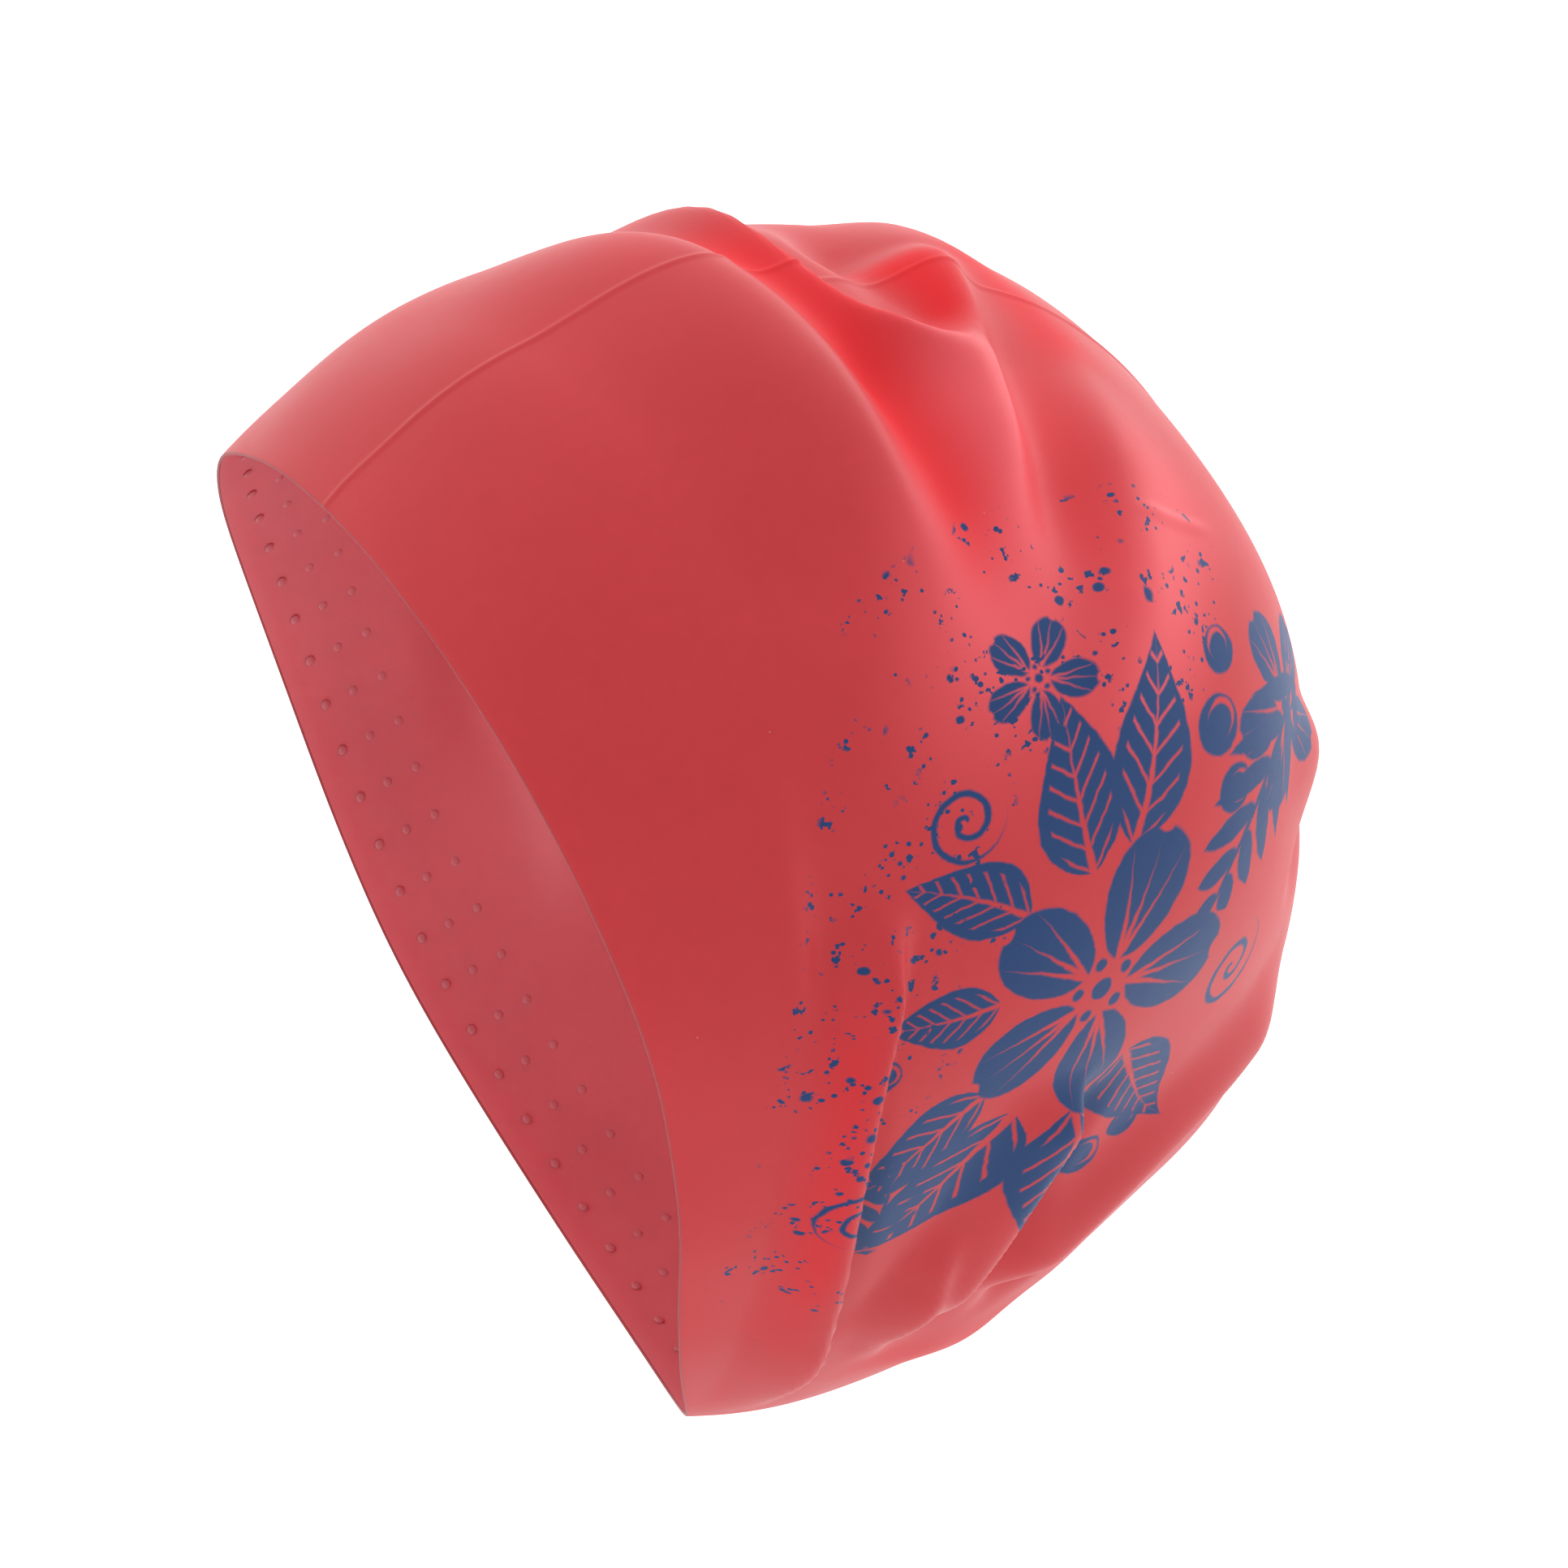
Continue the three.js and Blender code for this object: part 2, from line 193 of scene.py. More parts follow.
@dataclass(frozen=True)
class CapForm:
    """The moulded form that the cap's walls follow, in millimetres and degrees."""

    rim_length: float = 186.0
    rim_width: float = 162.0
    crown_depth: float = 141.5
    fold_height: float = 6.0
    rim_tilt: float = 25.0
    swell_angle: float = 28.0
    fold_steps: int = 20
    line_height: float = 0.3
    line_width: float = 0.42
    line_offset: float = 2.3
    line_rise: float = 14.0
    wave_height: float = 0.11
    wave_count: int = 9
    wave_paces: tuple[float, float] = (9.0, 22.0)
    wave_seed: int = 11

    def around(self, column: str, azimuth: np.ndarray) -> np.ndarray:
        """Runs one column of SECTIONS round the cap as a smooth loop through every row's value.

        Each row adds its value times sin(n a / 2) cos(a / 2) / (n sin(a / 2)), where a is the
        angle from the row and n the number of rows.

        Args:
            column: the name of the column.
            azimuth: radians.

        Returns:
            The column's value at each azimuth.
        """
        count = len(SECTIONS)
        total = np.zeros_like(azimuth)
        for section in SECTIONS:
            offset = azimuth - math.radians(section.azimuth)
            chord = np.sin(offset / 2)
            near = np.abs(chord) < NEARLY_NONE
            chord = np.where(near, 1.0, chord)
            share = np.sin(count / 2 * offset) * np.cos(offset / 2) / (count * chord)
            total = total + getattr(section, column) * np.where(near, 1.0, share)
        return total

    def direction(self, azimuth: np.ndarray, elevation: np.ndarray) -> np.ndarray:
        """Returns unit vectors on the cap's axes for angles in radians."""
        level = np.cos(elevation)
        return np.stack([level * np.cos(azimuth), level * np.sin(azimuth), np.sin(elevation)], axis=-1)

    def rim_oval(self, azimuth: np.ndarray) -> np.ndarray:
        """Returns the radius of the rim's plain oval, an ellipse of its length and width."""
        along, across = np.cos(azimuth) / self.rim_length, np.sin(azimuth) / self.rim_width
        return 0.5 / np.hypot(along, across)

    def rim_elevation(self, azimuth: np.ndarray) -> np.ndarray:
        """Returns the elevation of the rim in radians: the angle of its lift over its reach."""
        lift = self.crown_depth * self.around("lift", azimuth)
        return np.arctan2(lift, self.rim_oval(azimuth) * self.around("reach", azimuth))

    def dome_radius(self, azimuth: np.ndarray, elevation: np.ndarray) -> np.ndarray:
        """Returns the distance to the smooth dome, a superellipse from the side to the crown.

        Its half width is the rim's reach plus the swell, which grows as w (2 - w) while w goes
        from 0 at the rim to 1 at the swell angle above it.

        Args:
            azimuth: radians.
            elevation: radians.

        Returns:
            Millimetres from the origin.
        """
        climb = (elevation - self.rim_elevation(azimuth)) / math.radians(self.swell_angle)
        climb = np.clip(climb, 0.0, 1.0)
        swell = self.around("swell", azimuth) * climb * (2.0 - climb)
        half_width = self.rim_oval(azimuth) * (self.around("reach", azimuth) + swell)
        power = self.around("power", azimuth)
        outward = np.maximum(np.cos(elevation), NEARLY_NONE) / half_width
        upward = np.maximum(np.sin(elevation), 0.0) / self.crown_depth
        return (outward**power + upward**power) ** (-1.0 / power)

    def fold_line(self, fold: Fold) -> np.ndarray:
        """Returns the fold's line on the unit sphere: a quadratic curve through its three points.

        Args:
            fold: the fold.

        Returns:
            One unit vector a row.
        """
        angles = np.radians([fold.start, fold.through, fold.end])
        start, through, end = self.direction(angles[:, 0], angles[:, 1])
        handle = 2.0 * through - (start + end) / 2.0
        step = np.linspace(0.0, 1.0, self.fold_steps + 1)[:, None]
        line = (1 - step) ** 2 * start + 2 * step * (1 - step) * handle + step**2 * end
        return line / np.linalg.norm(line, axis=1, keepdims=True)

    def fold_rise(self, fold: Fold, toward: np.ndarray, softness: float) -> np.ndarray:
        """Returns the height that one fold adds, in millimetres.

        Across the line the height is (1 - v) squared, where v is the distance over the spread,
        bent at the crest by the roundness q: (sqrt(x^2 + q^2) - q) / (sqrt(1 + q^2) - q). Along
        the line it dies out smoothly towards both ends.

        Args:
            fold: the fold.
            toward: unit vectors, one a row.
            softness: the least roundness to use.

        Returns:
            One height a row.
        """
        line = self.fold_line(fold)
        spread = math.radians(max(fold.right, fold.left))
        middle = line[self.fold_steps // 2]
        reach = np.arccos(np.clip(line @ middle, -1, 1)).max() + spread
        rise = np.zeros(len(toward))
        close = np.flatnonzero(toward @ middle > math.cos(reach))
        points = toward[close]
        nearest = np.full(len(points), np.inf)
        side = np.zeros(len(points))
        along = np.zeros(len(points))
        for step in range(self.fold_steps):
            start, end = line[step], line[step + 1]
            run = end - start
            share = np.clip((points - start) @ run / (run @ run), 0.0, 1.0)
            distance = np.linalg.norm(points - start - share[:, None] * run, axis=1)
            closer = distance < nearest
            nearest = np.where(closer, distance, nearest)
            along = np.where(closer, (step + share) / self.fold_steps, along)
            side = np.where(closer, points @ np.cross(start, end), side)
        width = np.radians(np.where(side > 0, fold.left, fold.right))
        bend = max(fold.roundness, softness)
        across = (np.hypot(nearest / width, bend) - bend) / (math.hypot(1.0, bend) - bend)
        ends = smooth_step(along / fold.fade) * smooth_step((1.0 - along) / fold.fade)
        rise[close] = self.fold_height * fold.height * np.clip(1.0 - across, 0.0, 1.0) ** 2 * ends
        return rise

    def arc_share(self, arcs: tuple[Fold, ...], points: np.ndarray) -> np.ndarray:
        """Returns how near each point lies to some arcs, 0 to 1: their rises over the fold height.

        Args:
            arcs: the arcs, each a fold whose height is its strength.
            points: points on the cap's axes, one a row.

        Returns:
            One share a row.
        """
        toward = points / np.linalg.norm(points, axis=1, keepdims=True)
        rise = sum(self.fold_rise(arc, toward, 0.0) for arc in arcs)
        return np.minimum(rise / self.fold_height, 1.0)

    def waves(self, toward: np.ndarray) -> np.ndarray:
        """Returns the wall's slight unevenness in millimetres: a few sine waves in set directions.

        Args:
            toward: unit vectors, one a row.

        Returns:
            One height a row.
        """
        chance = np.random.default_rng(self.wave_seed)
        headings = chance.normal(size=(self.wave_count, 3))
        headings /= np.linalg.norm(headings, axis=1, keepdims=True)
        pace = chance.uniform(*self.wave_paces, self.wave_count)
        phase = chance.uniform(0.0, 2 * math.pi, self.wave_count)
        return self.wave_height * np.sin(toward @ (headings * pace[:, None]).T + phase).sum(axis=1)

    def line_place(self, points: np.ndarray) -> np.ndarray:
        """Returns how far each point lies to the left of the mould line, in millimetres.

        The mould line runs in a plane beside the middle of the cap. It starts a third of the
        offset from the middle at the rim and reaches the whole offset at the line rise.

        Args:
            points: points on the cap's axes, one a row.

        Returns:
            One distance a row.
        """
        climb = smooth_step(points[:, 2] / self.line_rise)
        return points[:, 1] - self.line_offset * (1.0 + 2.0 * climb) / 3.0

    def wall_points(
        self, azimuth: np.ndarray, elevation: np.ndarray, softness: float, line: bool,
    ) -> np.ndarray:
        """Returns the outer wall: the dome's radius plus every fold, the waves and the mould line.

        Args:
            azimuth: radians, on a grid.
            elevation: radians, on the same grid.
            softness: the least roundness of a fold.
            line: raise the mould line, a bell of the line's height and width.

        Returns:
            Points on the cap's axes in millimetres, of the grid's shape with three columns.
        """
        toward = self.direction(azimuth, elevation).reshape(-1, 3)
        radius = self.dome_radius(azimuth, elevation).reshape(-1)
        radius = radius + sum(self.fold_rise(fold, toward, softness) for fold in FOLDS)
        radius = radius + self.waves(toward)
        if line:
            beside = self.line_place(toward * radius[:, None]) / self.line_width
            radius = radius + self.line_height * np.exp(-0.5 * beside**2)
        return (toward * radius[:, None]).reshape(azimuth.shape + (3,))

    def to_world(self, points: np.ndarray) -> np.ndarray:
        """Turns points on the cap's axes in millimetres into the frame's metres.

        The brow axis is (0, -cos t, sin t), the left axis (1, 0, 0) and the crown axis
        (0, sin t, cos t), where t is the rim's tilt.

        Args:
            points: points with three columns.

        Returns:
            The same points in the frame.
        """
        tilt = math.radians(self.rim_tilt)
        axes = np.array([
            [0.0, -math.cos(tilt), math.sin(tilt)],
            [1.0, 0.0, 0.0],
            [0.0, math.sin(tilt), math.cos(tilt)],
        ])
        return points @ axes * MM


def wall_normals(points: np.ndarray) -> np.ndarray:
    """Returns outward unit normals of a wall grid: the way round crossed with the way up.

    Args:
        points: rings by columns by three, the columns closed in a loop.

    Returns:
        One unit vector a point.
    """
    way_round = np.roll(points, -1, axis=1) - np.roll(points, 1, axis=1)
    way_up = np.gradient(points, axis=0)
    normals = np.cross(way_round, way_up)
    return normals / np.linalg.norm(normals, axis=-1, keepdims=True)


class Term:
    """A number that comes out of a node. Arithmetic on it adds Math nodes to the same tree."""

    def __init__(self, wiring: "Wiring", socket: bpy.types.NodeSocket) -> None:
        """Keeps the tree's wiring and the socket that the number comes out of."""
        self.wiring = wiring
        self.socket = socket

    def step(self, operation: str, *values: object) -> "Term":
        """Returns the result of one Math node on some numbers and terms."""
        made = self.wiring.node("Math", operation=operation)
        for socket, value in zip(made.inputs, values):
            self.wiring.feed(socket, value)
        return Term(self.wiring, made.outputs[0])

    def __add__(self, other: object) -> "Term":
        """Returns the sum."""
        return self.step("ADD", self, other)

    def __sub__(self, other: object) -> "Term":
        """Returns this less the other."""
        return self.step("SUBTRACT", self, other)

    def __rsub__(self, other: object) -> "Term":
        """Returns the other less this."""
        return self.step("SUBTRACT", other, self)

    def __mul__(self, other: object) -> "Term":
        """Returns the product."""
        return self.step("MULTIPLY", self, other)

    def __truediv__(self, other: object) -> "Term":
        """Returns this over the other."""
        return self.step("DIVIDE", self, other)

    def __abs__(self) -> "Term":
        """Returns this without its sign."""
        return self.step("ABSOLUTE", self)

    def power(self, exponent: float) -> "Term":
        """Returns this to a power."""
        return self.step("POWER", self, exponent)

    def sine(self) -> "Term":
        """Returns the sine of an angle in radians."""
        return self.step("SINE", self)

    def cosine(self) -> "Term":
        """Returns the cosine of an angle in radians."""
        return self.step("COSINE", self)

    def root(self) -> "Term":
        """Returns the square root."""
        return self.step("SQRT", self)

    def hypot(self, other: "Term") -> "Term":
        """Returns the root of the sum of both squares."""
        return (self * self + other * other).root()

    def least(self, *others: object) -> "Term":
        """Returns the smallest of this and the others."""
        lowest = self
        for other in others:
            lowest = self.step("MINIMUM", lowest, other)
        return lowest

    def most(self, *others: object) -> "Term":
        """Returns the largest of this and the others."""
        highest = self
        for other in others:
            highest = self.step("MAXIMUM", highest, other)
        return highest

    def held(self) -> "Term":
        """Returns this kept between 0 and 1."""
        return self.least(1.0).most(0.0)

    def above(self, limit: float) -> "Term":
        """Returns 1 above the limit and 0 elsewhere."""
        return self.step("GREATER_THAN", self, limit)

    def past_whole(self) -> "Term":
        """Returns this less the nearest whole number."""
        return self - self.step("ROUND", self)


class Wiring:
    """Adds nodes to one node tree and joins their sockets."""

    def __init__(self, tree: bpy.types.NodeTree) -> None:
        """Keeps the tree that the nodes go into."""
        self.tree = tree

    def node(self, kind: str, **settings: object) -> bpy.types.Node:
        """Adds one node and sets its properties.

        Args:
            kind: the node's type name without the leading ShaderNode.
            **settings: the node's properties by name.

        Returns:
            The node.
        """
        made = self.tree.nodes.new("ShaderNode" + kind)
        for name, value in settings.items():
            setattr(made, name, value)
        return made

    def feed(self, socket: bpy.types.NodeSocket, value: object) -> None:
        """Joins an input socket to a term or another socket, or sets its value to a plain one."""
        if isinstance(value, Term):
            value = value.socket
        if isinstance(value, bpy.types.NodeSocket):
            self.tree.links.new(value, socket)
        else:
            socket.default_value = value

    def feed_all(self, node: bpy.types.Node, **values: object) -> bpy.types.Node:
        """Feeds a node's inputs by name, with _ for a space, and returns the node."""
        for name, value in values.items():
            self.feed(node.inputs[name.replace("_", " ")], value)
        return node

    def term(self, socket: bpy.types.NodeSocket) -> Term:
        """Returns the number that comes out of a socket."""
        return Term(self, socket)

    def parts(self, vector: object) -> list[Term]:
        """Returns a vector's three numbers."""
        made = self.node("SeparateXYZ")
        self.feed(made.inputs[0], vector)
        return [self.term(socket) for socket in made.outputs]

    def vector(self, operation: str, *values: object) -> bpy.types.NodeSocket:
        """Adds a Vector Math node.

        Args:
            operation: its operation.
            *values: a vector or a socket for each input.

        Returns:
            Its vector output.
        """
        made = self.node("VectorMath", operation=operation)
        for socket, value in zip(made.inputs, values):
            self.feed(socket, value)
        return made.outputs["Vector"]

    def scaled(self, vector: object, factor: object) -> bpy.types.NodeSocket:
        """Returns a vector times a number."""
        made = self.node("VectorMath", operation="SCALE")
        self.feed(made.inputs[0], vector)
        self.feed(made.inputs["Scale"], factor)
        return made.outputs["Vector"]

    def ramp(self, value: object, low: float, high: float) -> Term:
        """Adds a Map Range node that takes low to 0 and high to 1 smoothly."""
        made = self.node("MapRange", interpolation_type="SMOOTHSTEP")
        self.feed_all(made, Value=value, From_Min=low, From_Max=high)
        return self.term(made.outputs["Result"])

    def noise(self, place: object, scale: float, detail: float) -> Term:
        """Adds a Noise Texture and returns its value."""
        made = self.feed_all(self.node("TexNoise"), Vector=place, Scale=scale, Detail=detail)
        return self.term(made.outputs["Fac"])

    def cells(self, place: object, scale: float) -> tuple[Term, Term]:
        """Adds a Voronoi Texture and returns the distance to a cell's point and the cell's own shade."""
        made = self.feed_all(self.node("TexVoronoi"), Vector=place, Scale=scale)
        return self.term(made.outputs["Distance"]), self.term(made.outputs["Color"])

    def attribute(self, name: str) -> bpy.types.Node:
        """Adds a node that reads one of the mesh's attributes."""
        return self.node("Attribute", attribute_name=name)

    def mix(self, factor: object, first: object, second: object) -> bpy.types.NodeSocket:
        """Adds a colour Mix node and returns its result."""
        made = self.node("Mix", data_type="RGBA")
        colours = [socket for socket in made.inputs if socket.type == "RGBA"]
        self.feed(made.inputs["Factor"], factor)
        self.feed(colours[0], first)
        self.feed(colours[1], second)
        return next(socket for socket in made.outputs if socket.type == "RGBA")

    def placed(self, group: bpy.types.NodeTree, **values: object) -> bpy.types.Node:
        """Places a node group and feeds its inputs by name."""
        return self.feed_all(self.node("Group", node_tree=group), **values)


def new_group(
    name: str, inputs: dict[str, str], outputs: dict[str, str],
) -> tuple[Wiring, bpy.types.Node, bpy.types.Node]:
    """Starts a shader node group.

    Args:
        name: the group's name.
        inputs: socket kinds by name, each Float or Vector.
        outputs: the same for the outputs.

    Returns:
        The group's wiring, its input node and its output node.
    """
    tree = bpy.data.node_groups.new(name, "ShaderNodeTree")
    for way, sockets in (("INPUT", inputs), ("OUTPUT", outputs)):
        for label, kind in sockets.items():
            tree.interface.new_socket(label, in_out=way, socket_type="NodeSocket" + kind)
    return Wiring(tree), tree.nodes.new("NodeGroupInput"), tree.nodes.new("NodeGroupOutput")


class Motif(Enum):
    """The printed motifs, each a node group that turns a point of the print into an ink mask."""

    BLOSSOM = "print_blossom"
    LEAF = "print_leaf"
    FROND = "print_frond"
    CURL = "print_curl"
    BERRY = "print_berry"


class MotifGroup:
    """One motif's node group while it is drawn: the point on the motif's own axes and its values."""

    edge = 0.22
    inputs = {"Point": "Vector", "Centre": "Vector", "Turn": "Float", "Size": "Float"}

    def __init__(self, motif: Motif, *names: str) -> None:
        """Moves the point to the motif's centre and turns it back by the motif's turn.

        Args:
            motif: the motif.
            *names: the motif's own values, beside its centre, turn and size.
        """
        inputs = self.inputs | dict.fromkeys(names, "Float")
        self.wiring, self.source, self.sink = new_group(motif.value, inputs, {"Ink": "Float"})
        given = self.source.outputs
        moved = self.wiring.vector("SUBTRACT", given["Point"], given["Centre"])
        turned = self.wiring.node("VectorRotate", rotation_type="Z_AXIS", invert=True)
        self.wiring.feed_all(turned, Vector=moved, Angle=given["Turn"])
        self.x, self.y, _ = self.wiring.parts(turned.outputs[0])

    def value(self, name: str) -> Term:
        """Returns one of the motif's values."""
        return self.wiring.term(self.source.outputs[name])

    def radius(self) -> Term:
        """Returns the point's distance from the centre."""
        return self.x.hypot(self.y)

    def angle(self) -> Term:
        """Returns the angle of the point about the centre in radians."""
        return self.y.step("ARCTAN2", self.y, self.x)

    def turns(self) -> Term:
        """Returns the angle of the point about the centre as a share of a turn."""
        return self.angle() / (2 * math.pi)

    def finish(self, depth: Term) -> bpy.types.NodeTree:
        """Makes the mask from the depth inside the edge in millimetres, and returns the group."""
        self.wiring.feed(self.sink.inputs["Ink"], self.wiring.ramp(depth, -self.edge, self.edge))
        return self.wiring.tree


@dataclass(frozen=True)
class Blossom:
    """A round flower: equal petals with a notched tip and three bare veins, and a ring of dots.

    Its lengths are shares of its size. petal_widening, vein_fan and vein_width are slopes.
    """

    petal_middle: float = 0.6
    petal_half_length: float = 0.4
    petal_half_width: float = 0.22
    petal_widening: float = 0.12
    petal_depth: float = 0.3
    notch_place: float = 1.04
    notch_radius: float = 0.085
    vein_start: float = 0.2
    vein_end: float = 0.74
    vein_fan: float = 0.3
    vein_width: float = 0.045
    ring_radius: float = 0.19
    dot_radius: float = 0.042
    heart_radius: float = 0.075

    def build(self) -> bpy.types.NodeTree:
        """Builds the flower's node group.

        The angle round the flower is folded into one petal. The petal is an ellipse on its own
        axis, wider to its tip, less a small disc at the tip and the veins.

        Returns:
            The node group.
        """
        group = MotifGroup(Motif.BLOSSOM, "Petals")
        size, petals = group.value("Size"), group.value("Petals")
        radius = group.radius() / size
        steps = group.turns() * petals

        def petal_axes(shift: float) -> tuple[Term, Term]:
            """Returns the point along and across the nearest petal's axis."""
            angle = (steps + shift).past_whole() / petals * (2 * math.pi)
            return radius * angle.cosine(), abs(radius * angle.sine())

        along, across = petal_axes(0.0)
        length_share = (along - self.petal_middle) / self.petal_half_length
        width_share = across / (along * self.petal_widening + self.petal_half_width)
        petal = (1.0 - length_share.hypot(width_share)) * self.petal_depth
        notch = (along - self.notch_place).hypot(across) - self.notch_radius
        fan = abs(across - (along - self.vein_start) * self.vein_fan)
        vein = fan.least(across) - (self.vein_end - along) * self.vein_width
        between, aside = petal_axes(0.5)
        dot = self.dot_radius - (between - self.ring_radius).hypot(aside)
        depth = petal.least(notch, vein).most(dot, self.heart_radius - radius)
        return group.finish(depth * size)


@dataclass(frozen=True)
class Leaf:
    """A pointed leaf with a bare midrib and bare side veins.

    Its lengths are shares of its size. midrib_width and vein_lean are slopes, vein_share is a
    share of the way between two veins and veined_share one of the blade's half width.
    """

    fullness: float = 0.72
    midrib_end: float = 0.82
    midrib_width: float = 0.03
    vein_count: float = 7.0
    vein_lean: float = 1.1
    vein_share: float = 0.075
    vein_depth: float = 0.11
    veined_share: float = 0.72

    def build(self) -> bpy.types.NodeTree:
        """Builds the leaf's node group.

        Its length runs from 0 to the size, its half width is the width's share times the sine
        of pi times the share of the length to the power of the fullness, and its midrib bends
        as the square of that share.

        Returns:
            The node group.
        """
        group = MotifGroup(Motif.LEAF, "Width", "Bend")
        size, width = group.value("Size"), group.value("Width")
        along = group.x / size
        across = abs(group.y / size - group.value("Bend") * (along * along))
        wave = (along.held().power(self.fullness) * math.pi).sine()
        blade = wave * width - across
        midrib = across - (self.midrib_end - along) * self.midrib_width
        vein = abs(((along - across * self.vein_lean) * self.vein_count).past_whole())
        vein = (vein - self.vein_share) * self.vein_depth
        margin = across - wave * (width * self.veined_share)
        depth = blade.least(midrib, vein.most(margin), along, 1.0 - along)
        return group.finish(depth * size)


@dataclass(frozen=True)
class Frond:
    """A curved stem with small leaves on both sides.

    stem_width, stem_taper and least_leaf are in millimetres. leafy_start and leafy_share are
    shares of the hump that the leaves' lengths follow, leaf_lean is a slope, and leaf_fullness
    and leaf_depth are shares of the pitch.
    """

    stem_width: float = 0.6
    stem_taper: float = 0.35
    leafy_start: float = 0.12
    leafy_share: float = 0.84
    least_leaf: float = 0.1
    leaf_lean: float = 0.85
    leaf_fullness: float = 1.02
    leaf_depth: float = 0.7

    def build(self) -> bpy.types.NodeTree:
        """Builds the frond's node group.

        The stem is an arc of a circle of the size as radius, from the turn over the sweep. The
        point's place along the arc and off it are its two coordinates. Leaves repeat along the
        arc at the pitch, lean forward, alternate between the sides and shorten to both ends.

        Returns:
            The node group.
        """
        group = MotifGroup(Motif.FROND, "Sweep", "Leaf", "Pitch")
        size, sweep, pitch = (group.value(name) for name in ("Size", "Sweep", "Pitch"))
        off = group.radius() - size
        distance = abs(off)
        angle = group.angle()
        share = angle / sweep
        ends = share.least(1.0 - share) * (sweep * size)
        stem = share.held() * -self.stem_taper + self.stem_width - distance
        hump = ((share.held() * self.leafy_share + self.leafy_start) * math.pi).sine()
        reach = distance / (group.value("Leaf") * hump).most(self.least_leaf)
        lean = angle * size - distance * self.leaf_lean
        beside = abs((lean / pitch + off.above(0.0) * 0.5).past_whole())
        shape = reach.most(0.0).root() * (1.0 - reach)
        leaves = (shape * self.leaf_fullness - beside) * (pitch * self.leaf_depth)
        return group.finish(stem.least(ends).most(leaves.least(ends)))


@dataclass(frozen=True)
class Curl:
    """A thin tendril: an even spiral of the size as outer radius, at the pitch."""

    def build(self) -> bpy.types.NodeTree:
        """Builds the curl's node group.

        The line is where the radius over the pitch less the share of a turn is a whole number.

        Returns:
            The node group.
        """
        group = MotifGroup(Motif.CURL, "Pitch", "Line")
        radius, pitch = group.radius(), group.value("Pitch")
        beside = abs((radius / pitch - group.turns()).past_whole())
        line = group.value("Line") - beside * pitch
        return group.finish(line.least(group.value("Size") - radius))


@dataclass(frozen=True)
class Berry:
    """A round berry with a bare crescent. Its lengths are shares of its size.

    crescent_width is the slope by which the crescent widens across the berry.
    """

    inset: float = 0.16
    inner_radius: float = 0.62
    crescent_start: float = 0.1
    crescent_width: float = 0.16

    def build(self) -> bpy.types.NodeTree:
        """Builds the berry's node group: a disc less the rim of a smaller disc inside it.

        Returns:
            The node group.
        """
        group = MotifGroup(Motif.BERRY)
        size = group.value("Size")
        rim = abs((group.x - size * self.inset).hypot(group.y) - size * self.inner_radius)
        crescent = rim - (group.x - size * self.crescent_start) * self.crescent_width
        return group.finish((size - group.radius()).least(crescent))


MOTIF_SHAPES = {
    Motif.BLOSSOM: Blossom(),
    Motif.LEAF: Leaf(),
    Motif.FROND: Frond(),
    Motif.CURL: Curl(),
    Motif.BERRY: Berry(),
}


@dataclass(frozen=True)
class Stamp:
    """One motif of the print: its centre and size in millimetres and its turn in degrees."""

    motif: Motif
    centre: tuple[float, float]
    size: float
    turn: float = 0.0
    values: dict[str, float] = field(default_factory=dict)


STAMPS = (
    Stamp(Motif.BLOSSOM, (8, -6), 20, 14, {"Petals": 5}),
    Stamp(Motif.BLOSSOM, (31, 25), 11.5, 50, {"Petals": 5}),
    Stamp(Motif.BLOSSOM, (-9, 33), 7.5, -10, {"Petals": 5}),
    Stamp(Motif.LEAF, (0, 9), 22, 118, {"Width": 0.27, "Bend": -0.2}),
    Stamp(Motif.LEAF, (5, 12), 23, 80, {"Width": 0.25, "Bend": 0.15}),
    Stamp(Motif.LEAF, (-8, 4), 19, 158, {"Width": 0.28, "Bend": 0.15}),
    Stamp(Motif.LEAF, (-8, -8), 17, 204, {"Width": 0.28, "Bend": -0.15}),
    Stamp(Motif.LEAF, (-2, -22), 25, 236, {"Width": 0.27, "Bend": 0.2}),
    Stamp(Motif.LEAF, (6, -25), 32, 262, {"Width": 0.25, "Bend": -0.12}),
    Stamp(Motif.LEAF, (14, -23), 27, 290, {"Width": 0.27, "Bend": 0.15}),
    Stamp(Motif.LEAF, (22, -15), 22, 326, {"Width": 0.28, "Bend": 0.15}),
    Stamp(Motif.FROND, (58, 0), 36, 128, {"Sweep": 0.9, "Leaf": 9.0, "Pitch": 5.2}),
    Stamp(Motif.FROND, (-42, -64), 42, 12, {"Sweep": 0.55, "Leaf": 8.0, "Pitch": 4.6}),
    Stamp(Motif.CURL, (-19, 17), 5.5, 40, {"Pitch": 3.2, "Line": 0.45}),
    Stamp(Motif.CURL, (36, -4), 5.5, 120, {"Pitch": 3.2, "Line": 0.45}),
    Stamp(Motif.CURL, (-16, -44), 6.0, 300, {"Pitch": 3.4, "Line": 0.45}),
    Stamp(Motif.BERRY, (16, 24), 3.4, 60),
    Stamp(Motif.BERRY, (20, 17), 2.8, 20),
    Stamp(Motif.BERRY, (17, 32), 2.6, 100),
    Stamp(Motif.BERRY, (-22, -20), 2.8, 30),
    Stamp(Motif.BERRY, (32, -32), 3.4, 40),
    Stamp(Motif.BERRY, (36, -26), 2.6, 90),
)


